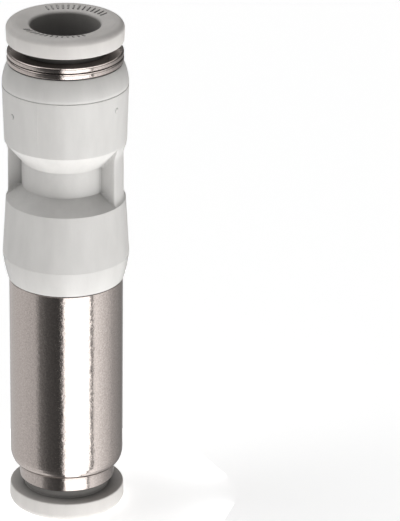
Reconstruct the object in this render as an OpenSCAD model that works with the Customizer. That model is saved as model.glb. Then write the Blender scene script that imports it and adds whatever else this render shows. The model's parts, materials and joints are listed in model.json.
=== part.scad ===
// Quick-connect non-return valve: two push-in tube ports with a sprung poppet between them.
// Lengths are millimetres. Z is the flow axis, and z = 0 is the foot, the lower release ring's face.
// Outlines of the port pieces are drawn as [radius, depth], with depth 0 at their own ring's face.

/* [Tube and fits] */
// Outer diameter of the tubes that push in
tube_d = 8; // [7.6:0.1:8.4]
// Gap around the tube in each bore
tube_gap = 0.1; // [0.05:0.05:0.2]
// Gap between pieces that fit in each other
fit_gap = 0.05; // [0.03:0.01:0.07]
// Seam between pieces that are stacked on each other
seam = 0.05; // [0.03:0.01:0.1]
// Small play that keeps a seated seal just off its seat
seal_play = 0.01; // [0.01:0.01:0.03]
// Chamfer that breaks the metal edges
edge_break = 0.12; // [0.05:0.01:0.2]

/* [Release rings] */
// Width of the flange outside the neck
flange_w = 1.85; // [1.6:0.05:2.2]
// Thickness of the flange
flange_t = 2.3; // [2:0.1:3]
// Inward lean of the flange's side towards the collar
flange_lean = 0.15; // [0:0.05:0.3]
// Rounding of the flange's outer edge
flange_round = 0.8; // [0.5:0.05:1]
// Width of the flat crest that the part stands on
crest_w = 0.4; // [0.2:0.05:0.5]
// Depth of the dished face at the bore
face_dish = 0.3; // [0.1:0.05:0.5]
// Rounding of the bore's lip
lip_round = 0.4; // [0.2:0.05:0.5]
// Wall of the neck
neck_wall = 0.95; // [0.8:0.05:1.1]
// Gap around the neck in the collar
neck_gap = 0.1; // [0.05:0.05:0.2]
// Open gap between the flange and the collar
release_gap = 1.1; // [0.8:0.1:1.5]
// Step of the hooks that hold the ring in the collar
hook_step = 0.3; // [0.2:0.05:0.4]
// Length of the hooks along the axis
hook_l = 0.65; // [0.4:0.05:1]
// Wall at the tip of the nose
nose_wall = 0.3; // [0.2:0.05:0.4]
// Number of slots that let the hooks spring inwards
neck_slots = 4; // [3:1:6]
// Width of each slot
neck_slot_w = 0.8; // [0.5:0.1:1.2]
// Length of unslotted neck inside the collar
neck_root = 1; // [0.6:0.1:1.4]

/* [Grab rings] */
// Thickness of the spring steel
sheet_t = 0.3; // [0.2:0.05:0.4]
// How far the finger tips bite into the tube
finger_bite = 0.1; // [0.05:0.05:0.2]
// Slope of the fingers from the plane of the rim, in degrees
finger_slope = 46; // [40:1:50]
// Play between the pressed nose and the fingers
nose_play = 0.15; // [0.1:0.05:0.3]
// Number of fingers
fingers = 12; // [8:1:16]
// Width of the slots between the fingers
finger_slot_w = 0.5; // [0.3:0.1:0.7]

/* [Collars and port seals] */
// Length of the collar's mouth, behind which the hooks catch
mouth_l = 2.5; // [2:0.1:3]
// Wall of the skirt behind the mouth
skirt_wall = 0.3; // [0.25:0.05:0.4]
// Height of the lower collar that stands out of the body
collar_show = 1.9; // [1.5:0.1:2.3]
// Thickness of the upper collar's cap
cap_t = 0.65; // [0.5:0.05:0.9]
// Width of the cap outside the skirt
cap_w = 1.1; // [0.9:0.05:1.3]
// Rounding of the rims of the cap and of the cartridge's flange
rim_round = 0.2; // [0.1:0.05:0.22]
// Length of the support ring's own bore
support_land = 0.8; // [0.6:0.1:1.2]
// How far the tube seal reaches into the tube's place
seal_bite = 0.1; // [0.05:0.05:0.2]
// Length of the bore that seats the tube's end behind its seal
tube_seat_l = 2.1; // [2:0.1:3]

/* [Metal body] */
// Wall around the lower port's cavity
body_wall = 1; // [0.9:0.05:1.3]
// Length of the plain metal outside
body_l = 24.1; // [22:0.05:26]
// Height of the rounded lower shoulder
shoulder_h = 1.6; // [1:0.1:2.2]
// Width of the flat end around the collar
end_land = 0.15; // [0.1:0.05:0.3]
// Length of the inlet between the tube's stop and the chamber
inlet_l = 3.8; // [3:0.1:4.5]
// Diameter of the inlet
inlet_d = 6; // [5.4:0.1:6.4]
// Width of the valve seat's lip
seat_w = 0.5; // [0.3:0.05:0.6]
// Height of the valve seat's lip
seat_h = 0.4; // [0.3:0.05:0.6]
// Step from the body in to the spigot inside the sleeve
spigot_step = 0.6; // [0.5:0.05:0.8]
// Wall of the spigot
spigot_wall = 1.15; // [1:0.05:1.3]
// Length of the spigot
spigot_l = 8.8; // [8.5:0.05:10]
// Width of the ledge that carries the spring guide
ledge_w = 0.2; // [0.15:0.05:0.3]
// Height of one barb on the pieces that are pressed into the sleeve
barb_pitch = 1.15; // [1:0.05:1.2]
// Depth of the barbs
barb_depth = 0.2; // [0.1:0.05:0.25]
// Number of barbs on the spigot
spigot_barbs = 4; // [2:1:4]

/* [Ring seals in the sleeve] */
// Cord of the ring seals
ring_cord = 0.7; // [0.6:0.05:0.75]
// Extra height of the grooves that hold them
groove_spare = 0.3; // [0.2:0.05:0.4]
// Distance of the spigot's groove from its end
spigot_groove_end = 1.6; // [1.2:0.1:2]
// Distance of the cartridge's groove from its end
cartridge_groove_end = 0.5; // [0.4:0.05:0.6]

/* [Housing sleeve] */
// Diameter of the flow bore in the waist
flow_d = 6.2; // [5.4:0.1:6.6]
// Wall between the flow bore and the recess floors
waist_wall = 2.06; // [1.6:0.02:2.3]
// Height from the lower socket's floor to the recesses
low_land = 1.1; // [0.8:0.05:1.6]
// Height of the recesses' lower slope
low_slope_h = 1.74; // [1.4:0.02:2.2]
// Height of the recesses' floor
floor_h = 3.09; // [2.4:0.01:4]
// Height of the recesses' upper slope
top_slope_h = 2.51; // [2.2:0.01:3]
// Height from the recesses to the upper socket's floor
top_land = 0.06; // [0.04:0.01:0.3]
// Width of the two ribs between the recesses
rib_w = 3.64; // [3:0.02:4.4]
// Dip of the ribs' face below the barrel
rib_dip = 0.41; // [0.2:0.01:0.6]
// Height of the curve from the barrel down into that dip
rib_curve_h = 2.05; // [1.6:0.05:3]
// Step from the sleeve in to the ribs' face at its lower end
rib_step = 0.06; // [0.02:0.01:0.1]
// Wall of the sleeve's foot around the spigot
foot_wall = 0.65; // [0.5:0.05:0.9]
// Widest wall of the lower half
lower_wall = 1.28; // [1.1:0.02:1.5]
// Height of the bevel down to the foot
bevel_h = 3.1; // [2.5:0.05:4.5]
// Bulge of that bevel
bevel_bulge = 0.08; // [0.02:0.01:0.15]
// Wall of the lower half at the recesses
lower_waist_wall = 0.86; // [0.7:0.02:1]
// Wall of the upper half at the recesses
upper_waist_wall = 0.84; // [0.7:0.02:1]
// Widest wall of the upper half
upper_wall = 1.05; // [0.95:0.05:1.3]
// Height of the rounded crown
crown_h = 2.75; // [2:0.05:3]
// Radius of the crown's curve
crown_round = 5.9; // [5.5:0.1:8]
// Chamfer in the corner of the upper socket
socket_chamfer = 0.6; // [0.3:0.1:0.8]
// Space past the spigot's end
end_gap = 0.2; // [0.1:0.05:0.4]

/* [Upper cartridge] */
// Wall around the upper port's cavity
cartridge_wall = 0.55; // [0.5:0.05:0.7]
// Width of the flange outside the cartridge
cartridge_flange_w = 0.52; // [0.4:0.02:0.6]
// Thickness of the flange
cartridge_flange_t = 0.7; // [0.5:0.05:1]
// Number of barbs on the cartridge
cartridge_barbs = 3; // [2:1:4]

/* [Poppet] */
// Lift from the closed place to fully open
lift = 2.4; // [1.6:0.1:2.6]
// Width of the seal outside the seat's lip
seal_margin = 0.15; // [0.1:0.05:0.3]
// Thickness of the flat seal
flat_seal_t = 0.8; // [0.6:0.05:1]
// Thickness of the head
head_t = 1.55; // [1.2:0.05:2]
// Diameter of the stem
stem_d = 3; // [2.8:0.1:3.2]
// Diameter of the boss inside the seal
boss_d = 2.4; // [2.2:0.1:2.6]
// Diameter of the rivet's pin
rivet_d = 1.6; // [1.4:0.1:1.8]
// Length of the pin above the rivet's head
rivet_l = 1.9; // [1.6:0.1:2.2]
// Diameter of the rivet's head
rivet_head_d = 3.8; // [3.4:0.1:4.2]
// Thickness of the rivet's head
rivet_head_t = 0.85; // [0.6:0.05:1]

/* [Spring and guide] */
// Wire of the spring
wire_d = 0.45; // [0.35:0.05:0.5]
// Turns of the spring, with one closed turn at each end
spring_turns = 7.5; // [6:0.5:8]
// Gap between the stem and the spring
coil_gap = 0.5; // [0.3:0.05:0.6]
// Wall of the hub around the stem
hub_wall = 1.35; // [1.2:0.05:1.5]
// Length of the hub below the ledge
hub_drop = 2.5; // [2:0.1:3]
// Length of the hub above the ledge
hub_rise = 2.2; // [2:0.1:2.4]
// Space over the stem when the valve is open
stem_spare = 0.3; // [0.1:0.1:0.6]
// Wall of the guide's outer ring
guide_wall = 0.75; // [0.6:0.05:0.8]
// Length of the guide's outer ring
guide_l = 2.55; // [2.4:0.05:2.8]
// Number of spokes
spokes = 3; // [3:1:4]
// Width of each spoke
spoke_w = 1; // [0.8:0.1:1.4]
// Thickness of the retaining clip
clip_t = 0.6; // [0.5:0.05:0.8]
// Width of the retaining clip
clip_w = 0.95; // [0.8:0.05:1.1]
// Depth of the clip's groove in the spigot
clip_groove_depth = 0.3; // [0.2:0.05:0.35]
// Distance of the clip's groove from the spigot's end
clip_end = 3.9; // [3.6:0.1:4.2]
// Opening between the clip's ends
clip_opening = 3; // [2:0.5:4]

/* [Hidden] */
$fn = 96;
WIRE_SIDES = 8;
STEPS_PER_TURN = 20;
CURVE_STEPS = 6;
OVERRUN = 1;

// Radii of a port, from the tube outwards
tube_r = tube_d / 2;
bore_r = tube_r + tube_gap;
neck_r = bore_r + neck_wall;
mouth_r = neck_r + neck_gap;
hook_r = neck_r + hook_step;
skirt_r = max(hook_r, mouth_r) + fit_gap;
collar_r = skirt_r + skirt_wall;
cavity_r = collar_r + fit_gap;
insert_r = cavity_r - fit_gap;
flange_r = neck_r + flange_w;
cap_r = collar_r + cap_w;

// Depths of a port, from the release ring's face inwards
collar_depth = flange_t + release_gap;
press_travel = release_gap - fit_gap;
mouth_depth = collar_depth + mouth_l;
hook_depth = mouth_depth + fit_gap;
nose_depth = hook_depth + hook_l + hook_step;
finger_rise = tan(finger_slope);
tip_depth = nose_depth + (neck_r - bore_r - nose_wall) * finger_rise;
grab_depth = nose_depth + press_travel + nose_play;
finger_t = sheet_t / cos(finger_slope);
finger_tip_r = tube_r - finger_bite;
support_depth = grab_depth + sheet_t + fit_gap;
support_cone = grab_depth + finger_t + fit_gap / cos(finger_slope);
support_end = support_cone + (neck_r - bore_r) * finger_rise + support_land;
seal_cord = insert_r - tube_r + seal_bite;
cavity_depth = support_end + seal_cord + 2 * fit_gap;
stop_depth = cavity_depth + tube_seat_l;

// Radii of the body, the cartridge and the sleeve
body_r = cavity_r + body_wall;
spigot_r = body_r - spigot_step;
guide_bore_r = spigot_r - spigot_wall;
chamber_r = guide_bore_r - ledge_w;
inlet_r = inlet_d / 2;
seat_r = inlet_r + seat_w;
lower_socket_r = spigot_r + fit_gap;
cartridge_r = cavity_r + cartridge_wall;
upper_socket_r = cartridge_r + fit_gap;
flow_r = flow_d / 2;
recess_r = flow_r + waist_wall;
foot_r = lower_socket_r + foot_wall;
lower_r = lower_socket_r + lower_wall;
lower_waist_r = lower_socket_r + lower_waist_wall;
upper_waist_r = upper_socket_r + upper_waist_wall;
upper_r = upper_socket_r + upper_wall;
rib_r = upper_waist_r - rib_dip;
top_r = upper_r - crown_round + sqrt(crown_round ^ 2 - crown_h ^ 2);

// Heights, from the foot upwards
body_z = collar_depth + collar_show;
joint_z = body_z + body_l;
sleeve_z = joint_z + seam;
spigot_top_z = joint_z + spigot_l;
waist_z = spigot_top_z + end_gap;
recess_z = waist_z + low_land;
recess_floor_z = recess_z + low_slope_h;
recess_roof_z = recess_floor_z + floor_h;
recess_top_z = recess_roof_z + top_slope_h;
upper_socket_z = recess_top_z + top_land;
overall_h = upper_socket_z + stop_depth;
cartridge_depth = collar_depth + cap_t + seam;
sleeve_depth = cartridge_depth + cartridge_flange_t + seam;
sleeve_top_z = overall_h - sleeve_depth;
cartridge_end = stop_depth - seam;
chamber_z = stop_depth + inlet_l;
seat_z = chamber_z + seat_h;
clip_top_z = spigot_top_z - clip_end;
clip_z = clip_top_z - clip_t - 2 * fit_gap;
ledge_z = clip_z - guide_l - fit_gap;
groove_h = ring_cord + groove_spare;

// Poppet group, closed on the seat
flat_seal_z = seat_z + seal_play;
head_z = flat_seal_z + flat_seal_t + seal_play;
head_top_z = head_z + head_t;
flat_seal_r = seat_r + seal_margin;
head_r = flat_seal_r + fit_gap;
stem_r = stem_d / 2;
boss_r = boss_d / 2;
rivet_r = rivet_d / 2;
hub_z = ledge_z - hub_drop;
hub_top_z = ledge_z + hub_rise;
stem_top_z = hub_top_z - lift - stem_spare;
hub_bore_r = stem_r + fit_gap;
hub_r = hub_bore_r + hub_wall;
spring_r = stem_r + coil_gap + wire_d / 2;
spring_z = head_top_z + fit_gap;
spring_l = hub_z - fit_gap - spring_z;

// Points along a quarter of an oval, from a place on its wide side to one on its tall side
function oval(centre, wide, tall, from, to) =
    [for (i = [0:CURVE_STEPS])
        let (a = from + (to - from) * i / CURVE_STEPS)
        centre + [wide * cos(a), tall * sin(a)]];

// Outside of a flange with two rounded rims, from its first height to its second
function rim(r, from_h, to_h) =
    let (way = sign(to_h - from_h))
    concat(
        oval([r - rim_round, from_h + way * rim_round], rim_round, way * rim_round, -90, 0),
        oval([r - rim_round, to_h - way * rim_round], rim_round, way * rim_round, 0, 90)
    );

// Saw teeth that rise outwards away from the end that goes in first, listed downwards
function barbs(r, top, count) =
    [for (i = [0:count - 1], side = [0, 1])
        [side == 0 ? r - barb_depth : r, top - barb_pitch * (i + side)]];

// Height of the wire's centre above the first turn's, after a number of turns
function coil_rise(turn) =
    let (closed = wire_d + fit_gap, whole = spring_l - wire_d)
    turn < 1 ? closed * turn
    : turn > spring_turns - 1 ? whole - closed * (spring_turns - turn)
    : closed + (turn - 1) / (spring_turns - 2) * (whole - 2 * closed);

// Puts a port piece, drawn as radius and depth, at the upper end
module at_upper_port() {
    translate([0, 0, overall_h])
        mirror([0, 0, 1])
            children();
}

// Ring-shaped groove that holds a ring seal against the wall of a socket
module seal_groove(socket_r, low_z) {
    floor_r = socket_r - ring_cord - 2 * seal_play;
    translate([0, 0, low_z])
        difference() {
            cylinder(r = socket_r, h = groove_h);
            translate([0, 0, -OVERRUN])
                cylinder(r = floor_r, h = groove_h + 2 * OVERRUN);
        }
}

module ring_seal(socket_r, low_z) {
    translate([0, 0, low_z + groove_h / 2])
        rotate_extrude()
            translate([socket_r - seal_play - ring_cord / 2, 0])
                circle(d = ring_cord);
}

// Release ring: flange, neck, four hooked legs and the nose that opens the grab ring
module release_ring() {
    crest_r = flange_r - flange_round;
    low_r = flange_r - flange_lean;
    nose_r = bore_r + nose_wall;
    difference() {
        rotate_extrude() {
            polygon([
                [bore_r, face_dish + lip_round], [bore_r + lip_round, face_dish + lip_round],
                [bore_r + lip_round, face_dish], [crest_r - crest_w, 0], [crest_r, 0],
                [crest_r, flange_round], [flange_r, flange_round],
                [low_r, flange_t - edge_break], [low_r - edge_break, flange_t],
                [neck_r, flange_t], [neck_r, hook_depth], [hook_r, hook_depth],
                [hook_r, hook_depth + hook_l], [neck_r, nose_depth],
                [nose_r, tip_depth], [bore_r, tip_depth]
            ]);
            translate([crest_r, flange_round])
                circle(r = flange_round);
            translate([bore_r + lip_round, face_dish + lip_round])
                circle(r = lip_round);
        }
        for (i = [0:neck_slots - 1])
            rotate(i * 360 / neck_slots)
                translate([0, -neck_slot_w / 2, collar_depth + neck_root])
                    cube([hook_r + OVERRUN, neck_slot_w, tip_depth]);
    }
}

// Grab ring: one coned washer of spring steel, slotted into fingers
module grab_ring() {
    bend = sheet_t * tan(finger_slope / 2);
    finger_fall = (neck_r - finger_tip_r) * finger_rise;
    root_r = neck_r - fit_gap;
    difference() {
        rotate_extrude()
            polygon([
                [neck_r, grab_depth], [insert_r, grab_depth],
                [insert_r, grab_depth + sheet_t], [neck_r + bend, grab_depth + sheet_t],
                [finger_tip_r, grab_depth + finger_fall + finger_t],
                [finger_tip_r, grab_depth + finger_fall]
            ]);
        for (i = [0:fingers - 1])
            rotate((i + 0.5) * 360 / fingers)
                translate([0, -finger_slot_w / 2, grab_depth - OVERRUN])
                    cube([root_r, finger_slot_w, finger_fall + finger_t + 2 * OVERRUN]);
    }
}

// Support ring: backs the fingers and holds the tube seal in its place
module support_ring() {
    cone_r = neck_r + (support_cone - support_depth) / finger_rise;
    rotate_extrude()
        polygon([
            [cone_r, support_depth], [insert_r, support_depth],
            [insert_r, support_end], [bore_r, support_end],
            [bore_r, support_end - support_land]
        ]);
}

module tube_seal() {
    translate([0, 0, support_end + fit_gap + seal_cord / 2])
        rotate_extrude()
            translate([insert_r - seal_cord / 2, 0])
                circle(d = seal_cord);
}

// Collar: the mouth that the hooks catch behind, and the skirt that holds the grab ring down.
// Its outside is drawn from the open end down to the skirt.
module collar(outside) {
    skirt_end = grab_depth - fit_gap;
    rotate_extrude()
        polygon(concat(
            [[mouth_r, collar_depth]],
            outside,
            [
                [collar_r, skirt_end], [skirt_r, skirt_end],
                [skirt_r, mouth_depth], [mouth_r, mouth_depth]
            ]
        ));
}

module metal_body() {
    end_r = cavity_r + end_land;
    groove_z = spigot_top_z - spigot_groove_end - groove_h;
    color("silver")
        difference() {
            rotate_extrude()
                polygon(concat(
                    [
                        [cavity_r, body_z], [cavity_r, cavity_depth], [bore_r, cavity_depth],
                        [bore_r, stop_depth], [inlet_r, stop_depth], [inlet_r, seat_z],
                        [seat_r, seat_z], [seat_r, chamber_z], [chamber_r, chamber_z],
                        [chamber_r, ledge_z], [guide_bore_r, ledge_z],
                        [guide_bore_r, spigot_top_z], [spigot_r - barb_depth, spigot_top_z],
                        [spigot_r, spigot_top_z - 2 * barb_depth], [spigot_r, groove_z - barb_depth]
                    ],
                    barbs(spigot_r, groove_z - barb_depth, spigot_barbs),
                    [
                        [spigot_r, joint_z], [body_r - edge_break, joint_z],
                        [body_r, joint_z - edge_break]
                    ],
                    oval([end_r, body_z + shoulder_h], body_r - end_r, shoulder_h, 0, -90)
                ));
            translate([0, 0, clip_z])
                cylinder(r = guide_bore_r + clip_groove_depth, h = clip_top_z - clip_z);
            seal_groove(lower_socket_r, groove_z);
        }
}

module body_seal_ring() {
    color("dimgray")
        ring_seal(lower_socket_r, spigot_top_z - spigot_groove_end - groove_h);
}

// Outline of the moulded sleeve, up its bores and down its outside
function sleeve_outline() = concat(
    [
        [lower_socket_r, sleeve_z], [lower_socket_r, waist_z], [flow_r, waist_z],
        [flow_r, upper_socket_z], [upper_socket_r - socket_chamfer, upper_socket_z],
        [upper_socket_r, upper_socket_z + socket_chamfer], [upper_socket_r, sleeve_top_z]
    ],
    oval([upper_r - crown_round, sleeve_top_z - crown_h], crown_round, crown_round,
        asin(crown_h / crown_round), 0),
    [
        [upper_waist_r, recess_top_z], [recess_r, recess_roof_z],
        [recess_r, recess_floor_z], [lower_waist_r, recess_z]
    ],
    [for (i = [0:CURVE_STEPS])
        let (t = i / CURVE_STEPS)
        [lower_r + (foot_r - lower_r) * t + 4 * bevel_bulge * t * (1 - t),
            sleeve_z + bevel_h * (1 - t)]]
);

// Outline of the ribs, which curve in from the barrel and run straight down to the lower half
function rib_outline() = concat(
    [[flow_r + waist_wall / 2, recess_z], [lower_waist_r - rib_step, recess_z]],
    [for (i = [CURVE_STEPS:-1:0])
        let (t = i / CURVE_STEPS)
        [upper_waist_r - rib_dip * (1 - cos(90 * t)), recess_top_z - rib_curve_h * t]],
    [[flow_r + waist_wall / 2, recess_top_z]]
);

module housing_sleeve() {
    color("gainsboro")
        union() {
            rotate_extrude()
                polygon(sleeve_outline());
            intersection() {
                rotate_extrude()
                    polygon(rib_outline());
                translate([-upper_r, -rib_w / 2, recess_z])
                    cube([2 * upper_r, rib_w, recess_top_z - recess_z]);
            }
        }
}

module upper_cartridge() {
    flange_end = cartridge_depth + cartridge_flange_t;
    cartridge_flange_r = cartridge_r + cartridge_flange_w;
    groove_z = overall_h - cartridge_end + cartridge_groove_end;
    barb_z = overall_h - flange_end - seam - barb_pitch;
    color("silver")
        difference() {
            rotate_extrude()
                polygon(concat(
                    [
                        [bore_r, overall_h - cartridge_end], [bore_r, overall_h - cavity_depth],
                        [cavity_r, overall_h - cavity_depth], [cavity_r, overall_h - cartridge_depth]
                    ],
                    rim(cartridge_flange_r, overall_h - cartridge_depth, overall_h - flange_end),
                    [[cartridge_r, overall_h - flange_end], [cartridge_r, barb_z]],
                    barbs(cartridge_r, barb_z, cartridge_barbs),
                    [
                        [cartridge_r, overall_h - cartridge_end + socket_chamfer],
                        [cartridge_r - socket_chamfer, overall_h - cartridge_end]
                    ]
                ));
            seal_groove(upper_socket_r, groove_z);
        }
}

module cartridge_seal_ring() {
    color("dimgray")
        ring_seal(upper_socket_r, overall_h - cartridge_end + cartridge_groove_end);
}

module upper_collar() {
    color("silver")
        at_upper_port()
            collar(concat(
                rim(cap_r, collar_depth, collar_depth + cap_t),
                [[collar_r, collar_depth + cap_t]]
            ));
}

module upper_release_ring() {
    color("lightgray")
        at_upper_port()
            release_ring();
}

module upper_grab_ring() {
    color("lightsteelblue")
        at_upper_port()
            grab_ring();
}

module upper_support_ring() {
    color("whitesmoke")
        at_upper_port()
            support_ring();
}

module upper_tube_seal() {
    color("dimgray")
        at_upper_port()
            tube_seal();
}

module lower_collar() {
    color("silver")
        collar([[collar_r - edge_break, collar_depth], [collar_r, collar_depth + edge_break]]);
}

module lower_release_ring() {
    color("lightgray")
        release_ring();
}

module lower_grab_ring() {
    color("lightsteelblue")
        grab_ring();
}

module lower_support_ring() {
    color("whitesmoke")
        support_ring();
}

module lower_tube_seal() {
    color("dimgray")
        tube_seal();
}

module poppet() {
    hole_r = rivet_r + seal_play;
    hole_top_z = seat_z + rivet_l + fit_gap;
    color("goldenrod")
        rotate_extrude()
            polygon([
                [hole_r, flat_seal_z], [boss_r, flat_seal_z], [boss_r, head_z],
                [head_r, head_z], [head_r, head_top_z - edge_break],
                [head_r - edge_break, head_top_z], [stem_r, head_top_z],
                [stem_r, stem_top_z - edge_break], [stem_r - edge_break, stem_top_z],
                [0, stem_top_z], [0, hole_top_z], [hole_r, hole_top_z]
            ]);
}

module poppet_seal() {
    color("dimgray")
        translate([0, 0, flat_seal_z])
            difference() {
                cylinder(r = flat_seal_r, h = flat_seal_t);
                translate([0, 0, -OVERRUN])
                    cylinder(r = boss_r + fit_gap, h = flat_seal_t + 2 * OVERRUN);
            }
}

module poppet_rivet() {
    color("lightsteelblue")
        rotate_extrude()
            polygon([
                [0, seat_z - rivet_head_t], [rivet_head_d / 2 - edge_break, seat_z - rivet_head_t],
                [rivet_head_d / 2, seat_z - rivet_head_t + edge_break], [rivet_head_d / 2, seat_z],
                [rivet_r, seat_z], [rivet_r, seat_z + rivet_l], [0, seat_z + rivet_l]
            ]);
}

module poppet_spring() {
    steps = STEPS_PER_TURN * spring_turns;
    points = [
        for (i = [0:steps], j = [0:WIRE_SIDES - 1])
            let (
                turn = spring_turns * i / steps,
                side = 360 * j / WIRE_SIDES,
                r = spring_r + wire_d / 2 * cos(side),
                z = spring_z + wire_d / 2 + coil_rise(turn) + wire_d / 2 * sin(side)
            )
            [r * cos(360 * turn), r * sin(360 * turn), z]
    ];
    sides = [
        for (i = [0:steps - 1], j = [0:WIRE_SIDES - 1])
            let (next = (j + 1) % WIRE_SIDES, a = i * WIRE_SIDES, b = a + WIRE_SIDES)
            [a + j, a + next, b + next, b + j]
    ];
    first_end = [for (j = [WIRE_SIDES - 1:-1:0]) j];
    last_end = [for (j = [0:WIRE_SIDES - 1]) steps * WIRE_SIDES + j];
    color("lightsteelblue")
        polyhedron(points = points, faces = concat([first_end], sides, [last_end]));
}

module spring_guide() {
    ring_r = guide_bore_r - fit_gap;
    ring_bore_r = ring_r - guide_wall;
    color("whitesmoke")
        difference() {
            union() {
                translate([0, 0, hub_z])
                    cylinder(r = hub_r, h = hub_top_z - hub_z);
                translate([0, 0, ledge_z])
                    difference() {
                        cylinder(r = ring_r, h = guide_l);
                        translate([0, 0, -OVERRUN])
                            cylinder(r = ring_bore_r, h = guide_l + 2 * OVERRUN);
                    }
                for (i = [0:spokes - 1])
                    rotate(i * 360 / spokes)
                        translate([0, -spoke_w / 2, ledge_z])
                            cube([ring_bore_r + guide_wall / 2, spoke_w, hub_rise]);
            }
            translate([0, 0, hub_z - OVERRUN])
                cylinder(r = hub_bore_r, h = hub_top_z - hub_z + 2 * OVERRUN);
        }
}

module retaining_clip() {
    clip_r = guide_bore_r + clip_groove_depth - fit_gap;
    color("lightsteelblue")
        translate([0, 0, clip_z + fit_gap])
            difference() {
                cylinder(r = clip_r, h = clip_t);
                translate([0, 0, -OVERRUN])
                    cylinder(r = clip_r - clip_w, h = clip_t + 2 * OVERRUN);
                translate([0, -clip_opening / 2, -OVERRUN])
                    cube([clip_r + OVERRUN, clip_opening, clip_t + 2 * OVERRUN]);
            }
}

metal_body();
housing_sleeve();
body_seal_ring();
upper_cartridge();
cartridge_seal_ring();
upper_collar();
upper_release_ring();
upper_grab_ring();
upper_support_ring();
upper_tube_seal();
lower_collar();
lower_release_ring();
lower_grab_ring();
lower_support_ring();
lower_tube_seal();
poppet();
poppet_seal();
poppet_rivet();
poppet_spring();
spring_guide();
retaining_clip();
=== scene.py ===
"""Looks of the quick-connect non-return valve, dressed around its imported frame.

Lengths below are millimetres of the real valve, and MM turns them into Blender's metres.
"""

import json
import math

import bpy
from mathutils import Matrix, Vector


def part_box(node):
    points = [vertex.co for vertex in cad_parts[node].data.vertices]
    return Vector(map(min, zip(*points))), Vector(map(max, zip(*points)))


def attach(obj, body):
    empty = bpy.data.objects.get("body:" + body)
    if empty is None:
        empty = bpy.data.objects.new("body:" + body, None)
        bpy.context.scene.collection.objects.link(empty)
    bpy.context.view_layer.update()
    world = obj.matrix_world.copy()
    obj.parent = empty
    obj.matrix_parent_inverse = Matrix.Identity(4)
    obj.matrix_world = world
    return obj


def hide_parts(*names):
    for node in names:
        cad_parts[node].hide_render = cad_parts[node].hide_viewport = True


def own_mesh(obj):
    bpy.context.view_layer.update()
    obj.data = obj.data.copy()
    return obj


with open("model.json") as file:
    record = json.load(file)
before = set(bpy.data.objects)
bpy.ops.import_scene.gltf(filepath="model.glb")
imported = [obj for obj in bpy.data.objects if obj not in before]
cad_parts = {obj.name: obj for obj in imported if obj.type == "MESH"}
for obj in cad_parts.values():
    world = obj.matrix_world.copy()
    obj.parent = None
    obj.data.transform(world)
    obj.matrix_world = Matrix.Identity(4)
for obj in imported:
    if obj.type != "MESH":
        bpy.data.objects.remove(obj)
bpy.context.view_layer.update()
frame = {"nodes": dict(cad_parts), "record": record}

MM = 0.001

# Release ring: radii, and depths below its outer face
BORE_R = 4.1
NECK_R = 5.05
HOOK_R = 5.35
RING_R = 6.9
RING_UNDERSIDE_R = 6.83
RING_T = 2.3
FACE_DISH_R = 5.7
FACE_DISH = 0.3
HOOK_DEPTH = 5.95
HOOK_END_DEPTH = 6.6
NOSE_DEPTH = 6.9
NOSE_R = 4.4
RING_DEPTH = 7.573
SLOT_DEPTH = 4.4
SLOT_COUNT = 4
SLOT_W = 0.8

# Release ring: roundings of its edges, and a row of points close above the slots that keeps the wall
# smooth there. The slots' cutter runs past the ring's end
RIM_ROUNDING = 0.8
RIM_STEPS = 14
UNDERSIDE_ROUNDING = 0.15
BORE_ROUNDING = 0.4
DISH_ROUNDING = 0.5
NECK_ROUNDING = 0.1
STEP_ROUNDING = 0.05
NOSE_ROUNDING = 0.08
SLOT_ROW_GAP = 0.1
SLOT_OVERRUN = 1

# Plain grip ticks on the upper ring's face, in two opposite arcs
TICK_FROM_R = 4.7
TICK_TO_R = 5.55
TICK_FOOT_W = 0.2
TICK_CREST_W = 0.12
TICK_H = 0.08
TICK_SINK = 0.05
TICKS_IN_ARC = 13
TICK_STEP = 7

# Housing sleeve: radii and heights
LOWER_SOCKET_R = 6.2
UPPER_SOCKET_R = 6.35
SOCKET_SEAT_R = 5.75
SOCKET_FLOOR_Z = 46.9
SOCKET_WALL_Z = 47.5
SPIGOT_TOP_Z = 38.4
FLOW_R = 3.1
FOOT_R = 6.85
BEVEL_R = 7.48
BEVEL_TOP_Z = 32.55
BEVEL_BULGE = 0.08
RECESS_R = 5.16
RECESS_Z = 39.5
RECESS_FOOT_R = 7.06
LEDGE_H = 1.74
ROOF_Z = 44.33
RECESS_TOP_Z = 46.84
RECESS_TOP_R = 7.19
RIB_R = 6.8
RIB_WAIST_R = 6.78
RIB_FLARE_H = 1.3
RIB_HALF_W = 1.82
RIB_EDGE = 0.25
BARREL_R = 7.4
CROWN_H = 2.75
CROWN_ROUNDING = 5.9
CROWN_STEP = 0.06
CROWN_STEP_H = 0.02

# The ribs' foot: its curve out to the lower sleeve, as (proud of the rib, height over the ledge's edge).
# Past both ends of the recess a rib runs on inside the wall, by (radius, height)
RIB_FOOT = ((0.25, 0), (0.14, 0.15), (0.06, 0.35), (0.01, 0.7))
RIB_RUN_ON_BELOW = (0.06, 0.5)
RIB_RUN_ON_ABOVE = (0.01, 0.4)

# Housing sleeve: roundings of its edges
EDGE_ROUNDING = 0.1
CORNER_ROUNDING = 0.12
MOUTH_ROUNDING = 0.08
BEVEL_TOP_ROUNDING = 0.05
CROWN_STEP_ROUNDING = 0.03
CROWN_FOOT_ROUNDING = 0.02

# Rows of points up the sleeve's outside stand this close. The ribs bend them from a margin below the
# recess to a margin above it
ROW_H = 0.5
RECESS_MARGIN = 0.3

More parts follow.
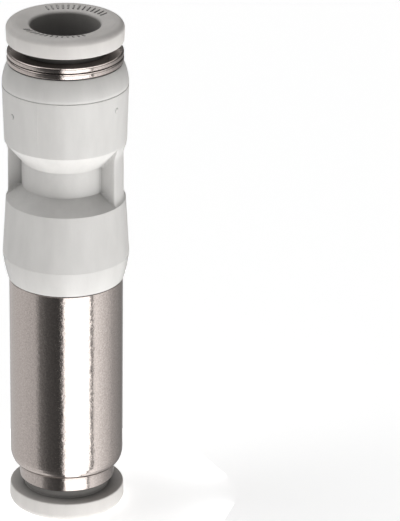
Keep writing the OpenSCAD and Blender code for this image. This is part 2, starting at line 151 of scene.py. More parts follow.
# The mould's parting lines on the barrel, and the marks of its ejector pins. Directions are degrees
# from +X, and each pin mark is given as (direction, height). A mark's dome starts inside the wall, so
# that no gap shows at its edge, and curves through a share of a quarter turn
PARTING_LINES = (81.5, 261.5)
PARTING_H = 0.04
PARTING_HALF_ANGLE = 0.7
PARTING_TOP_GAP = 0.2
PIN_MARKS = ((-18.5, 51.9), (231, 51.0))
PIN_MARK_R = 0.3
PIN_MARK_H = 0.05
PIN_MARK_INSET = 0.02
PIN_MARK_SINK = 0.04
PIN_MARK_CURVE = 0.9

# Poppet spring, as in the frame. Then the pitch of its closed end coils in wire diameters, and the share
# of the wire's thickness at its ends
SPRING_R = 2.225
WIRE_D = 0.45
SPRING_FOOT_Z = 21.008
SPRING_TOP_Z = 28.45
SPRING_TURNS = 7.5
CLOSED_PITCH = 1.02
WIRE_END_TAPER = 0.6

# The nickel plate. Its real stipple is near 0.05 mm, drawn coarser so that the picture shows it
PLATE_RIPPLE = 0.45
PLATE_RIPPLE_DEPTH = 0.016
PLATE_STIPPLE = 0.17
PLATE_STIPPLE_DEPTH = 0.0015

# Feed marks of a lathe, drawn coarser than the real 0.1 mm, and long round the axis
TURNED_RING = 0.3
TURNED_RING_DEPTH = 0.003
RING_STRETCH = 0.12

# Draw lines on spring strip and wire: really near 0.02 mm, drawn coarser so that they show
DRAW_LINE = 0.15
DRAW_LINE_DEPTH = 0.0015

# Grain of the mould's face, drawn coarser than the real 0.05 mm so that it shows, and the patches
# where the melt flowed up the sleeve
MOULD_GRAIN = 0.22
MOULD_GRAIN_DEPTH = 0.014
FLOW_PATCH = 1.6
FLOW_STRETCH = 0.3

# Patches of bloom on the rubber
RUBBER_BLOOM = 0.8
RUBBER_DIMPLE_DEPTH = 0.01

# Reach of the painted shade in bores, gaps and recesses, and in the seams between pieces
WIDE_HOLLOW = 12
NARROW_SEAM = 0.6

# Shares of open sky between which a hollow's shade fades out
CLOSED = 0.39
OPEN = 0.9
HOLLOW_SAMPLES = 8

# The useful middle of a noise, and the colour sockets of a mix node
NOISE_LOW = 0.3
NOISE_HIGH = 0.7
COLOUR_A = 6
COLOUR_B = 7
MIXED_COLOUR = 2

# Lamps that stand for the table's own light at the foot
GLOW_COUNT = 8
GLOW_R = 20
GLOW_Z = 1.5
GLOW_SIZE = 8
GLOW_POWER = 0.0002

# Edges that turn by more than this stay crisp where slots are cut
SHARP_ANGLE = math.radians(40)

# Corners straighter than this stay as they are, and a rounding takes less than half of each side
STRAIGHT_ANGLE = math.radians(178)
SIDE_SHARE = 0.48

# The floor: its half width, its drop below the foot, and the light it adds for the camera alone
FLOOR_HALF_W = 3000
FLOOR_DROP = 0.02
FLOOR_LIFT = 0.54

# The photograph's camera: distance, height of its aim, direction and lens, and the turn and lean that
# set the valve at the left of the picture
CAMERA_DISTANCE = 450
CAMERA_AIM_Z = 31.13
CAMERA_ELEVATION = 23.4
CAMERA_AZIMUTH = 18
CAMERA_LENS = 262.4
CAMERA_TURN = 2.02
CAMERA_LEAN = 0.2


def linear(code):
    """An sRGB hex value as linear colour."""
    parts = [int(code[i : i + 2], 16) / 255 for i in (1, 3, 5)]
    return [c / 12.92 if c <= 0.04045 else ((c + 0.055) / 1.055) ** 2.4 for c in parts] + [1]


def add_node(tree, kind, settings=None, links=None):
    """Adds a node. Settings name its options and sockets, and links name the sockets that others feed."""
    node = tree.nodes.new(kind)
    for name, value in (settings or {}).items():
        if isinstance(name, int) or name in node.inputs:
            node.inputs[name].default_value = value
        else:
            setattr(node, name, value)
    for name, source in (links or {}).items():
        tree.links.new(source, node.inputs[name])
    return node


def new_material(name):
    """An empty material and its node tree."""
    material = bpy.data.materials.new(name)
    material.use_nodes = True
    material.node_tree.nodes.clear()
    return material, material.node_tree


def finish_material(tree, shader_settings, shader_links):
    """Adds the shader and the output to a material's nodes."""
    shader = add_node(tree, "ShaderNodeBsdfPrincipled", shader_settings, shader_links)
    add_node(tree, "ShaderNodeOutputMaterial", links={"Surface": shader.outputs[0]})


def between_colours(tree, noise, dark, light):
    """A colour that follows a noise's useful middle from a dark hex value to a light one."""
    share = add_node(
        tree, "ShaderNodeMapRange", {"From Min": NOISE_LOW, "From Max": NOISE_HIGH}, {"Value": noise}
    )
    mixed = add_node(
        tree,
        "ShaderNodeMix",
        {"data_type": "RGBA", COLOUR_A: linear(dark), COLOUR_B: linear(light)},
        {"Factor": share.outputs["Result"]},
    )
    return mixed.outputs[MIXED_COLOUR]


def uneven_gloss(tree, noise, smoothest, roughest):
    """A roughness that follows a noise's useful middle."""
    ranged = add_node(
        tree,
        "ShaderNodeMapRange",
        {"From Min": NOISE_LOW, "From Max": NOISE_HIGH, "To Min": smoothest, "To Max": roughest},
        {"Value": noise},
    )
    return ranged.outputs["Result"]


def painted_hollow_shade(tree, colour, reach_mm, deepest):
    """Painted shade: a colour that falls to a share of itself where surfaces face each other closely,
    standing in for the shade in bores, gaps and seams.
    """
    hollow = add_node(
        tree, "ShaderNodeAmbientOcclusion", {"samples": HOLLOW_SAMPLES, "Distance": reach_mm * MM}
    )
    openness = add_node(
        tree,
        "ShaderNodeMapRange",
        {"From Min": CLOSED, "From Max": OPEN, "To Min": deepest, "To Max": 1},
        {"Value": hollow.outputs["AO"]},
    )
    darker = add_node(
        tree,
        "ShaderNodeMix",
        {"data_type": "RGBA", "blend_type": "MULTIPLY", "Factor": 1},
        {COLOUR_A: colour, COLOUR_B: openness.outputs["Result"]},
    )
    return darker.outputs[MIXED_COLOUR]


def bright_nickel():
    """Nickel plated on turned brass.

    Bright and a little warm. The plate is slightly rippled and stippled, which makes the edges of what
    it mirrors ragged, and the lathe's rings show through it faintly.
    """
    material, tree = new_material("bright_nickel_on_turned_brass")
    place = add_node(tree, "ShaderNodeTexCoord").outputs["Object"]
    ripple = add_node(
        tree, "ShaderNodeTexNoise", {"Scale": 1 / (PLATE_RIPPLE * MM), "Detail": 4}, {"Vector": place}
    )
    stipple = add_node(
        tree, "ShaderNodeTexNoise", {"Scale": 1 / (PLATE_STIPPLE * MM), "Detail": 2}, {"Vector": place}
    )
    round_axis = add_node(
        tree, "ShaderNodeMapping", {"Scale": (RING_STRETCH, RING_STRETCH, 1)}, {"Vector": place}
    )
    rings = add_node(
        tree,
        "ShaderNodeTexNoise",
        {"Scale": 1 / (TURNED_RING * MM), "Detail": 3},
        {"Vector": round_axis.outputs["Vector"]},
    )
    rippled = add_node(
        tree,
        "ShaderNodeBump",
        {"Distance": PLATE_RIPPLE_DEPTH * MM},
        {"Height": ripple.outputs["Fac"]},
    )
    ringed = add_node(
        tree,
        "ShaderNodeBump",
        {"Distance": TURNED_RING_DEPTH * MM},
        {"Height": rings.outputs["Fac"], "Normal": rippled.outputs["Normal"]},
    )
    stippled = add_node(
        tree,
        "ShaderNodeBump",
        {"Distance": PLATE_STIPPLE_DEPTH * MM},
        {"Height": stipple.outputs["Fac"], "Normal": ringed.outputs["Normal"]},
    )
    colour = between_colours(tree, stipple.outputs["Fac"], dark="#d1c6c0", light="#e6dbd5")
    # Painted shade: the plate's colour is darkened in hollows and seams, in place of the shade that falls
    # there
    colour = painted_hollow_shade(tree, colour, WIDE_HOLLOW, deepest=0.75)
    colour = painted_hollow_shade(tree, colour, NARROW_SEAM, deepest=0.5)
    finish_material(
        tree,
        {"Metallic": 1},
        {
            "Base Color": colour,
            "Roughness": uneven_gloss(tree, stipple.outputs["Fac"], smoothest=0.07, roughest=0.16),
            "Normal": stippled.outputs["Normal"],
        },
    )
    return material


def moulded_plastic(name, dark, light, polish_below=None):
    """Glass-filled nylon or acetal straight from the mould.

    Satin, with a fine grain from the mould's face and soft patches where the melt flowed. Below a
    height, the mould's own polish makes it glossier.
    """
    material, tree = new_material(name)
    place = add_node(tree, "ShaderNodeTexCoord").outputs["Object"]
    along_flow = add_node(tree, "ShaderNodeMapping", {"Scale": (1, 1, FLOW_STRETCH)}, {"Vector": place})
    flow = add_node(
        tree,
        "ShaderNodeTexNoise",
        {"Scale": 1 / (FLOW_PATCH * MM), "Detail": 4},
        {"Vector": along_flow.outputs["Vector"]},
    )
    grain = add_node(
        tree, "ShaderNodeTexNoise", {"Scale": 1 / (MOULD_GRAIN * MM), "Detail": 2}, {"Vector": place}
    )
    grained = add_node(
        tree, "ShaderNodeBump", {"Distance": MOULD_GRAIN_DEPTH * MM}, {"Height": grain.outputs["Fac"]}
    )
    gloss = uneven_gloss(tree, grain.outputs["Fac"], smoothest=0.36, roughest=0.5)
    if polish_below:
        height = add_node(tree, "ShaderNodeSeparateXYZ", links={0: place})
        polished = add_node(
            tree,
            "ShaderNodeMath",
            {"operation": "LESS_THAN", 1: polish_below * MM},
            {0: height.outputs["Z"]},
        )
        either = add_node(
            tree,
            "ShaderNodeMix",
            {"data_type": "FLOAT"},
            {
                "Factor": polished.outputs[0],
                "A": gloss,
                "B": uneven_gloss(tree, grain.outputs["Fac"], smoothest=0.14, roughest=0.22),
            },
        )
        gloss = either.outputs["Result"]
    colour = between_colours(tree, flow.outputs["Fac"], dark, light)
    # Painted shade: the plastic's colour is darkened in bores, recesses and seams, in place of the shade
    # that falls there
    colour = painted_hollow_shade(tree, colour, WIDE_HOLLOW, deepest=0.3)
    colour = painted_hollow_shade(tree, colour, NARROW_SEAM, deepest=0.5)
    finish_material(
        tree,
        {"IOR": 1.5},
        {"Base Color": colour, "Roughness": gloss, "Normal": grained.outputs["Normal"]},
    )
    return material


def spring_steel():
    """Stainless strip and wire, drawn or pressed: grey, with fine draw lines that blur its mirroring."""
    material, tree = new_material("drawn_stainless_steel")
    place = add_node(tree, "ShaderNodeTexCoord").outputs["Object"]
    drawn = add_node(tree, "ShaderNodeMapping", {"Scale": (1, 1, RING_STRETCH)}, {"Vector": place})
    lines = add_node(
        tree,
        "ShaderNodeTexNoise",
        {"Scale": 1 / (DRAW_LINE * MM), "Detail": 3},
        {"Vector": drawn.outputs["Vector"]},
    )
    scored = add_node(
        tree, "ShaderNodeBump", {"Distance": DRAW_LINE_DEPTH * MM}, {"Height": lines.outputs["Fac"]}
    )
    finish_material(
        tree,
        {"Metallic": 1},
        {
            "Base Color": between_colours(tree, lines.outputs["Fac"], dark="#b9b9b8", light="#cfcfce"),
            "Roughness": uneven_gloss(tree, lines.outputs["Fac"], smoothest=0.22, roughest=0.36),
            "Normal": scored.outputs["Normal"],
        },
    )
    return material


def turned_brass():
    """Free-cutting brass as it comes off the lathe, without plate: yellow, with the tool's rings."""
    material, tree = new_material("turned_brass")
    place = add_node(tree, "ShaderNodeTexCoord").outputs["Object"]
    round_axis = add_node(
        tree, "ShaderNodeMapping", {"Scale": (RING_STRETCH, RING_STRETCH, 1)}, {"Vector": place}
    )
    rings = add_node(
        tree,
        "ShaderNodeTexNoise",
        {"Scale": 1 / (TURNED_RING * MM), "Detail": 3},
        {"Vector": round_axis.outputs["Vector"]},
    )
    ringed = add_node(
        tree, "ShaderNodeBump", {"Distance": TURNED_RING_DEPTH * MM}, {"Height": rings.outputs["Fac"]}
    )
    finish_material(
        tree,
        {"Metallic": 1},
        {
            "Base Color": between_colours(tree, rings.outputs["Fac"], dark="#c9a45c", light="#dcbd78"),
            "Roughness": uneven_gloss(tree, rings.outputs["Fac"], smoothest=0.2, roughest=0.34),
            "Normal": ringed.outputs["Normal"],
        },
    )
    return material


def nitrile_rubber():
    """Moulded nitrile rubber: black and matt, with a faint grey bloom."""
    material, tree = new_material("moulded_nitrile_rubber")
    place = add_node(tree, "ShaderNodeTexCoord").outputs["Object"]
    bloom = add_node(
        tree, "ShaderNodeTexNoise", {"Scale": 1 / (RUBBER_BLOOM * MM), "Detail": 3}, {"Vector": place}
    )
    dimpled = add_node(
        tree, "ShaderNodeBump", {"Distance": RUBBER_DIMPLE_DEPTH * MM}, {"Height": bloom.outputs["Fac"]}
    )
    finish_material(
        tree,
        {"IOR": 1.52},
        {
            "Base Color": between_colours(tree, bloom.outputs["Fac"], dark="#141414", light="#262524"),
            "Roughness": uneven_gloss(tree, bloom.outputs["Fac"], smoothest=0.55, roughest=0.75),
            "Normal": dimpled.outputs["Normal"],
        },
    )
    return material


def soften(corners, steps=6):
    """Rounds a closed outline, whose corners are (radius, height) or (radius, height, rounding)."""
    points = []
    count = len(corners)
    for i, corner in enumerate(corners):
        here = Vector(corner[:2])
        rounding = corner[2] if len(corner) > 2 else 0
        back = Vector(corners[i - 1][:2]) - here
        ahead = Vector(corners[(i + 1) % count][:2]) - here
        angle = back.angle(ahead)
        if not rounding or angle > STRAIGHT_ANGLE:
            points.append(here)
            continue
        reach = rounding / math.tan(angle / 2)
        reach = min(reach, SIDE_SHARE * back.length, SIDE_SHARE * ahead.length)
        rounding = reach * math.tan(angle / 2)
        inwards = (back.normalized() + ahead.normalized()).normalized()
        middle = here + inwards * (rounding / math.sin(angle / 2))
        start = here + back.normalized() * reach - middle
        end = here + ahead.normalized() * reach - middle
        turn = start.angle_signed(end)
        for k in range(steps + 1):
            a = turn * k / steps
            arm_x = start.x * math.cos(a) + start.y * math.sin(a)
            arm_y = start.y * math.cos(a) - start.x * math.sin(a)
            points.append(middle + Vector((arm_x, arm_y)))
    return points


def make_piece(name, points, faces, material, body, nodes=()):
    """A smooth mesh that rides on a body and stands for the given nodes."""
    mesh = bpy.data.meshes.new(name)
    mesh.from_pydata([[c * MM for c in p] for p in points], [], faces)
    mesh.shade_smooth()
    mesh.materials.append(material)
    piece = bpy.data.objects.new(name, mesh)
    bpy.context.scene.collection.objects.link(piece)
    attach(piece, body)
    if nodes:
        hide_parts(*nodes)
    return piece


def loop_faces(rings, columns):
    """Quads between neighbouring rings of a closed outline that is turned round the axis."""
    return [
        (
            i * columns + j,
            i * columns + (j + 1) % columns,
            (i + 1) % rings * columns + (j + 1) % columns,
            (i + 1) % rings * columns + j,
        )
        for i in range(rings)
        for j in range(columns)
    ]


def lathe(outline, columns=192):
    """Points and faces of an outline, drawn up its outside and down its bore, turned round the axis."""
    points = []
    for r, z in outline:
        for j in range(columns):
            a = 2 * math.pi * j / columns
            points.append((r * math.cos(a), r * math.sin(a), z))
    return points, loop_faces(len(outline), columns)


def cut_slots(piece, count, width, low_z, high_z, reach):
    """Cuts radial slots of one width through the wall of a piece."""
    points = []
    faces = []
    box_faces = [(0, 1, 3, 2), (4, 6, 7, 5), (0, 4, 5, 1), (2, 3, 7, 6), (0, 2, 6, 4), (1, 5, 7, 3)]
    inside = BORE_R / 2
    for i in range(count):
        a = 2 * math.pi * i / count
        first = len(points)
        for r in (inside, reach):
            for side in (-width / 2, width / 2):
                for z in (low_z, high_z):
                    x = r * math.cos(a) - side * math.sin(a)
                    y = r * math.sin(a) + side * math.cos(a)
                    points.append((x * MM, y * MM, z * MM))
        faces += [tuple(first + k for k in face) for face in box_faces]
    mesh = bpy.data.meshes.new("slot_cutter")
    mesh.from_pydata(points, [], faces)
    cutter = bpy.data.objects.new("slot_cutter", mesh)
    bpy.context.scene.collection.objects.link(cutter)
    modifier = piece.modifiers.new("slots", "BOOLEAN")
    modifier.operation = "DIFFERENCE"
    modifier.solver = "EXACT"
    modifier.object = cutter
    bpy.context.view_layer.update()
    shaped = piece.evaluated_get(bpy.context.evaluated_depsgraph_get())
    cut_mesh = bpy.data.meshes.new_from_object(shaped)
    cut_mesh.set_sharp_from_angle(angle=SHARP_ANGLE)
    piece.modifiers.clear()
    piece.data = cut_mesh
    bpy.data.objects.remove(cutter)


def release_ring(name, node, body, material, face_z, inwards):
    """A moulded release ring. face_z is its outer face, and inwards is 1 or -1 along Z."""
    rim = []
    for k in range(RIM_STEPS + 1):
        a = math.pi / 2 * k / RIM_STEPS
        reach = RIM_ROUNDING * math.sin(a)
        rim.append((RING_R - RIM_ROUNDING + reach, RIM_ROUNDING * (1 - math.cos(a))))
    corners = [
        (BORE_R, FACE_DISH, BORE_ROUNDING),
        (FACE_DISH_R, 0, DISH_ROUNDING),
        *rim,
        (RING_UNDERSIDE_R, RING_T, UNDERSIDE_ROUNDING),
        (NECK_R, RING_T, NECK_ROUNDING),
        (NECK_R, SLOT_DEPTH - SLOT_ROW_GAP),
        (NECK_R, HOOK_DEPTH),
        (HOOK_R, HOOK_DEPTH, STEP_ROUNDING),
        (HOOK_R, HOOK_END_DEPTH, NOSE_ROUNDING),
        (NECK_R, NOSE_DEPTH),
        (NOSE_R, RING_DEPTH, NOSE_ROUNDING),
        (BORE_R, RING_DEPTH, STEP_ROUNDING),
        (BORE_R, SLOT_DEPTH - SLOT_ROW_GAP),
        (BORE_R, SLOT_DEPTH / 2),
    ]
    outline = [(p.x, face_z + inwards * p.y) for p in soften(corners)]
    if inwards < 0:
        outline.reverse()
    points, faces = lathe(outline)
    piece = make_piece(name, points, faces, material, body, [node])
    slot_ends = (face_z + inwards * SLOT_DEPTH, face_z + inwards * (RING_DEPTH + SLOT_OVERRUN))
    cut_slots(piece, SLOT_COUNT, SLOT_W, min(slot_ends), max(slot_ends), RING_R)
    return piece


def grip_ticks(face_z, material):
    """Low moulded bars across the upper ring's dished face, in one arc at its front and one behind."""
    points = []
    faces = []
    sides = [(0, 4, 5, 1), (1, 5, 6, 2), (2, 6, 7, 3), (3, 7, 4, 0), (3, 2, 1, 0), (4, 7, 6, 5)]
    slope = FACE_DISH / (FACE_DISH_R - BORE_R)
    first_angle = -TICK_STEP * (TICKS_IN_ARC - 1) / 2
    foot = TICK_FOOT_W / 2
    crest = TICK_CREST_W / 2
    across = ((-foot, -TICK_SINK), (-crest, TICK_H), (crest, TICK_H), (foot, -TICK_SINK))
    for arc_middle in (-90, 90):
        for i in range(TICKS_IN_ARC):
            a = math.radians(arc_middle + first_angle + TICK_STEP * i)
            start = len(points)
            for r in (TICK_FROM_R, TICK_TO_R):
                face = face_z - slope * (FACE_DISH_R - r)
                for side, height in across:
                    x = r * math.cos(a) - side * math.sin(a)
                    y = r * math.sin(a) + side * math.cos(a)
                    points.append((x, y, face + height))
            faces += [tuple(start + k for k in face) for face in sides]
    return make_piece("grip_ticks", points, faces, material, "upper_release")


def wire_rise(turn, free_rise, closed_turn):
    """Rise of the wire's middle after some turns: one closed turn, the open ones, one closed turn."""
    open_pitch = (free_rise - 2 * closed_turn) / (SPRING_TURNS - 2)
    from_foot = min(turn, 1) * closed_turn
    opened = min(max(turn - 1, 0), SPRING_TURNS - 2) * open_pitch
    return from_foot + opened + max(turn - SPRING_TURNS + 1, 0) * closed_turn


def coil_spring(material):
    """The poppet's wire spring, with a closed coil at each end."""
    steps_in_turn = 40
    wire_sides = 12
    steps = int(SPRING_TURNS * steps_in_turn)
    wire_r = WIRE_D / 2
    free_rise = SPRING_TOP_Z - SPRING_FOOT_Z - WIRE_D
    closed_turn = WIRE_D * CLOSED_PITCH
    points = []
    for i in range(-1, steps + 2):
        turn = min(max(i, 0), steps) / steps_in_turn
        rise = wire_rise(turn, free_rise, closed_turn)
        taper = WIRE_END_TAPER if i in (-1, steps + 1) else 1
        a = 2 * math.pi * (i / steps_in_turn)
        for k in range(wire_sides):
            side = 2 * math.pi * k / wire_sides
            r = SPRING_R + wire_r * taper * math.cos(side)
            z = SPRING_FOOT_Z + wire_r + rise + wire_r * taper * math.sin(side)
            points.append((r * math.cos(a), r * math.sin(a), z))
    rings = steps + 3
    faces = [
        (
            i * wire_sides + k,
            i * wire_sides + (k + 1) % wire_sides,
            (i + 1) * wire_sides + (k + 1) % wire_sides,
            (i + 1) * wire_sides + k,
        )
        for i in range(rings - 1)
        for k in range(wire_sides)
    ]
    faces.append(tuple(range(wire_sides - 1, -1, -1)))
    faces.append(tuple((rings - 1) * wire_sides + k for k in range(wire_sides)))
    piece = make_piece(
        "coil_spring", points, faces, material, "valve_body", ["poppet_spring"]
    )
    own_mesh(piece)
    return piece


def smooth_min(a, b, width):
    """The lesser of two values, with the change between them rounded over a width."""
    near = max(width - abs(a - b), 0) / width
    return min(a, b) - near * near * width / 4


def straight_between(z, places):
    """Radius at a height on a run of straight stretches, given as (radius, height) upwards."""
    if z <= places[0][1]:
        return places[0][0]
    for (r0, z0), (r1, z1) in zip(places, places[1:]):
        if z <= z1:
            return r0 + (r1 - r0) * (z - z0) / (z1 - z0)
    return places[-1][0]


def sleeve_columns():
    """Directions round the sleeve in degrees: close together at the ribs' walls and parting lines."""
    wall_from = 13
    wall_to = 24
    fine = 0.3
    coarse = 1.5
    clearance = PARTING_HALF_ANGLE + 0.2
    quarter = []
    a = 0
    while a < 90:
        quarter.append(a)
        a += fine if wall_from <= a < wall_to else coarse
    half = quarter + [90] + [180 - q for q in reversed(quarter[1:])]
    plain = half + [a + 180 for a in half]
    ridge = [
        line + PARTING_HALF_ANGLE * share for line in PARTING_LINES for share in (-1, -0.5, 0, 0.5, 1)
    ]
    clear = [a for a in plain if all(abs(a - line) > clearance for line in PARTING_LINES)]
    return sorted(clear + ridge)


def parting_ridge(degrees, z, low_z, high_z):
    """Height of the parting line's ridge, which fades out over the last millimetre at both its ends."""
    nearest = min(abs(degrees - line) for line in PARTING_LINES)
    across = max(0, 1 - nearest / PARTING_HALF_ANGLE)
    fade = min(1, max(0, z - low_z), max(0, high_z - z))
    return PARTING_H * across * fade


def sleeve_outline(low, top):
    """The sleeve's turned outline: up its outside at a recess, and down its bores."""
    crown_z = top - CROWN_H
    crown_steps = 12
    crown = [
        (BARREL_R, crown_z - CROWN_STEP_H, CROWN_STEP_ROUNDING),
        (BARREL_R - CROWN_STEP, crown_z, CROWN_FOOT_ROUNDING),
    ]
    for k in range(1, crown_steps + 1):
        a = math.asin(CROWN_H / CROWN_ROUNDING) * k / crown_steps
        r = BARREL_R - CROWN_ROUNDING + CROWN_ROUNDING * math.cos(a)
        crown.append((r, crown_z + CROWN_ROUNDING * math.sin(a)))
    crown[-1] = crown[-1] + (EDGE_ROUNDING,)
    bevel_steps = 8
    bevel = []
    for k in range(bevel_steps + 1):
        t = k / bevel_steps
        r = FOOT_R + (BEVEL_R - FOOT_R) * t + 4 * BEVEL_BULGE * t * (1 - t)
        bevel.append((r, low + (BEVEL_TOP_Z - low) * t))
    bevel[0] = bevel[0] + (CORNER_ROUNDING,)
    bevel[-1] = bevel[-1] + (BEVEL_TOP_ROUNDING,)
    recess = [
        (RECESS_FOOT_R, RECESS_Z, EDGE_ROUNDING),
        (RECESS_R, RECESS_Z + LEDGE_H, CORNER_ROUNDING),
        (RECESS_R, ROOF_Z, CORNER_ROUNDING),
        (RECESS_TOP_R, RECESS_TOP_Z, CORNER_ROUNDING),
    ]
    inside = [
        (UPPER_SOCKET_R, top, MOUTH_ROUNDING),
        (UPPER_SOCKET_R, SOCKET_WALL_Z),
        (SOCKET_SEAT_R, SOCKET_FLOOR_Z),
        (FLOW_R, SOCKET_FLOOR_Z, EDGE_ROUNDING),
        (FLOW_R, SPIGOT_TOP_Z, EDGE_ROUNDING),
        (LOWER_SOCKET_R, SPIGOT_TOP_Z, EDGE_ROUNDING),
        (LOWER_SOCKET_R, low, MOUTH_ROUNDING),
    ]
    return soften(bevel + recess + crown + inside)


def close_rows(rough):
    """The outline with more rows up its outside, so that the ribs and the parting lines can bend it."""
    outline = []
    for i, p in enumerate(rough):
        before = rough[i - 1]
        pieces = 1
        if p.y > before.y:
            pieces = max(1, math.ceil((p.y - before.y) / ROW_H))
        outline += [before + (p - before) * k / pieces for k in range(1, pieces + 1)]
    return outline


def rib_outline():
    """A rib's outer face from its foot up, as (radius, height): straight, with a flare at its top."""
    rib = [(RECESS_FOOT_R + RIB_RUN_ON_BELOW[0], RECESS_Z - RIB_RUN_ON_BELOW[1])]
    rib += [(RIB_R + proud, RECESS_Z + height) for proud, height in RIB_FOOT]
    flare_steps = 8
    for k in range(flare_steps, -1, -1):
        pinch = (RECESS_TOP_R - RIB_WAIST_R) * (1 - math.cos(math.radians(90 * k / flare_steps)))
        rib.append((RECESS_TOP_R - pinch, RECESS_TOP_Z - RIB_FLARE_H * k / flare_steps))
    rib.append((RECESS_TOP_R + RIB_RUN_ON_ABOVE[0], RECESS_TOP_Z + RIB_RUN_ON_ABOVE[1]))
    return rib


def housing_sleeve(material):
    """The moulded sleeve: two recesses between parallel ribs, a round crown and a bevelled foot."""
    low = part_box("housing_sleeve")[0].z / MM
    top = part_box("housing_sleeve")[1].z / MM
    outline = close_rows(sleeve_outline(low, top))
    rib = rib_outline()
    ridge_low = RECESS_TOP_Z + RECESS_MARGIN
    ridge_top = top - CROWN_H - PARTING_TOP_GAP
    smallest_sine = 0.001
    columns = sleeve_columns()
    # The outside's last row, at the crown's inner edge
    mouth_row = max(i for i, p in enumerate(outline) if p.x > UPPER_SOCKET_R + EDGE_ROUNDING)
    points = []
    for i, p in enumerate(outline):
        outside = i <= mouth_row
        in_recess = outside and RECESS_Z - RECESS_MARGIN <= p.y <= RECESS_TOP_Z + RECESS_MARGIN
        on_barrel = outside and p.y > RECESS_TOP_Z and p.x > RECESS_TOP_R
        for degrees in columns:
            a = math.radians(degrees)
            sine = abs(math.sin(a))
            r = p.x
            if in_recess:
                wall = RIB_HALF_W / max(sine, smallest_sine)
                r = max(r, smooth_min(straight_between(p.y, rib), wall, RIB_EDGE))
            if on_barrel:
                r += parting_ridge(degrees, p.y, ridge_low, ridge_top)
            points.append((r * math.cos(a), r * math.sin(a), p.y))
    faces = loop_faces(len(outline), len(columns))
    return make_piece(
        "sleeve_shell", points, faces, material, "valve_body", ["housing_sleeve"]
    )


def pin_marks(material):
    """Small low domes on the barrel where the mould's pins pushed the sleeve out."""
    points = []
    faces = []
    sides = 20
    rows = 5
    for degrees, height in PIN_MARKS:
        a = math.radians(degrees)
        out = Vector((math.cos(a), math.sin(a), 0))
        along = Vector((-math.sin(a), math.cos(a), 0))
        start = len(points)
        surface = BARREL_R - PIN_MARK_INSET
        for row in range(rows):
            share = row / (rows - 1)
            reach = PIN_MARK_R * math.cos(share * math.pi / 2 * PIN_MARK_CURVE)
            proud = (PIN_MARK_H + PIN_MARK_SINK) * math.sin(share * math.pi / 2) - PIN_MARK_SINK
            for k in range(sides):
                b = 2 * math.pi * k / sides
                across = reach * math.cos(b)
                bend = math.sqrt(surface**2 - across**2) - surface
                p = out * (surface + bend + proud) + along * across
                points.append((p.x, p.y, height + reach * math.sin(b)))
        for row in range(rows - 1):
            for k in range(sides):
                n = (k + 1) % sides
                low_row = start + row * sides
                high_row = low_row + sides
                faces.append((low_row + k, low_row + n, high_row + n, high_row + k))
        faces.append(tuple(start + (rows - 1) * sides + k for k in range(sides)))
        faces.append(tuple(start + k for k in range(sides - 1, -1, -1)))
    return make_piece("pin_marks", points, faces, material, "valve_body")


def dress_frame(finishes):
    """Gives every node of the frame its real finish, by its material slot."""
    slots = {s["node"]: s["material_slot"] for s in frame["record"]["subparts"]}
    for name, node in frame["nodes"].items():
        node.data.materials.clear()
        node.data.materials.append(finishes[slots[name]])


def aim(thing, place, target):
    """Puts a camera or lamp at a place and turns it to a target, both in millimetres."""
    thing.location = Vector(place) * MM
    way = Vector(target) * MM - thing.location
    thing.rotation_euler = way.to_track_quat("-Z", "Y").to_euler()


def make_camera():
    """The camera at the photograph's viewing angle."""
    data = bpy.data.cameras.new("camera")
    data.sensor_fit = "AUTO"
    data.sensor_width = 36
    data.lens = CAMERA_LENS
    data.clip_start = 0.01
    camera = bpy.data.objects.new("camera", data)
    bpy.context.scene.collection.objects.link(camera)
    elevation = math.radians(CAMERA_ELEVATION)
    azimuth = math.radians(CAMERA_AZIMUTH)
    flat = CAMERA_DISTANCE * math.cos(elevation)
    place = (
        flat * math.sin(azimuth),
        -flat * math.cos(azimuth),
        CAMERA_AIM_Z + CAMERA_DISTANCE * math.sin(elevation),
    )
    aim(camera, place, (0, 0, CAMERA_AIM_Z))
    camera.rotation_euler.rotate_axis("Y", -math.radians(CAMERA_TURN))
    camera.rotation_euler.rotate_axis("Z", -math.radians(CAMERA_LEAN))
    bpy.context.scene.camera = camera


def make_floor():
    """A plain pale floor that keeps a light shadow."""
    material, tree = new_material("pale_floor")
    path = add_node(tree, "ShaderNodeLightPath")
    paper = add_node(tree, "ShaderNodeBsdfDiffuse", {"Color": linear("#f4f4f4")})
    lift = add_node(
        tree,
        "ShaderNodeMath",
        {"operation": "MULTIPLY", 1: FLOOR_LIFT},
        {0: path.outputs["Is Camera Ray"]},
    )
    glow = add_node(tree, "ShaderNodeEmission", links={"Strength": lift.outputs[0]})
    both = add_node(tree, "ShaderNodeAddShader", links={0: paper.outputs[0], 1: glow.outputs[0]})
    add_node(tree, "ShaderNodeOutputMaterial", links={"Surface": both.outputs[0]})
    mesh = bpy.data.meshes.new("floor")
    half = FLOOR_HALF_W * MM
    drop = FLOOR_DROP * MM
    corners = [(-half, -half, -drop), (half, -half, -drop), (half, half, -drop), (-half, half, -drop)]
    mesh.from_pydata(corners, [], [(0, 1, 2, 3)])
    mesh.materials.append(material)
    floor = bpy.data.objects.new("floor", mesh)
    bpy.context.scene.collection.objects.link(floor)
    # Hidden from these rays, so that the world's light from below reaches the valve
    floor.visible_diffuse = False
    floor.visible_glossy = False
    floor.visible_shadow = False


def make_table_glow():
    """Small lamps round the foot, for the light that the bright table throws back onto it."""
    for i in range(GLOW_COUNT):
        a = 2 * math.pi * i / GLOW_COUNT
        data = bpy.data.lights.new("table_glow", "AREA")
        data.size = GLOW_SIZE * MM
        data.energy = GLOW_POWER
        lamp = bpy.data.objects.new("table_glow", data)
        bpy.context.scene.collection.objects.link(lamp)
        aim(lamp, (GLOW_R * math.cos(a), GLOW_R * math.sin(a), GLOW_Z), (0, 0, GLOW_Z))
        lamp.visible_camera = False
        lamp.visible_glossy = False


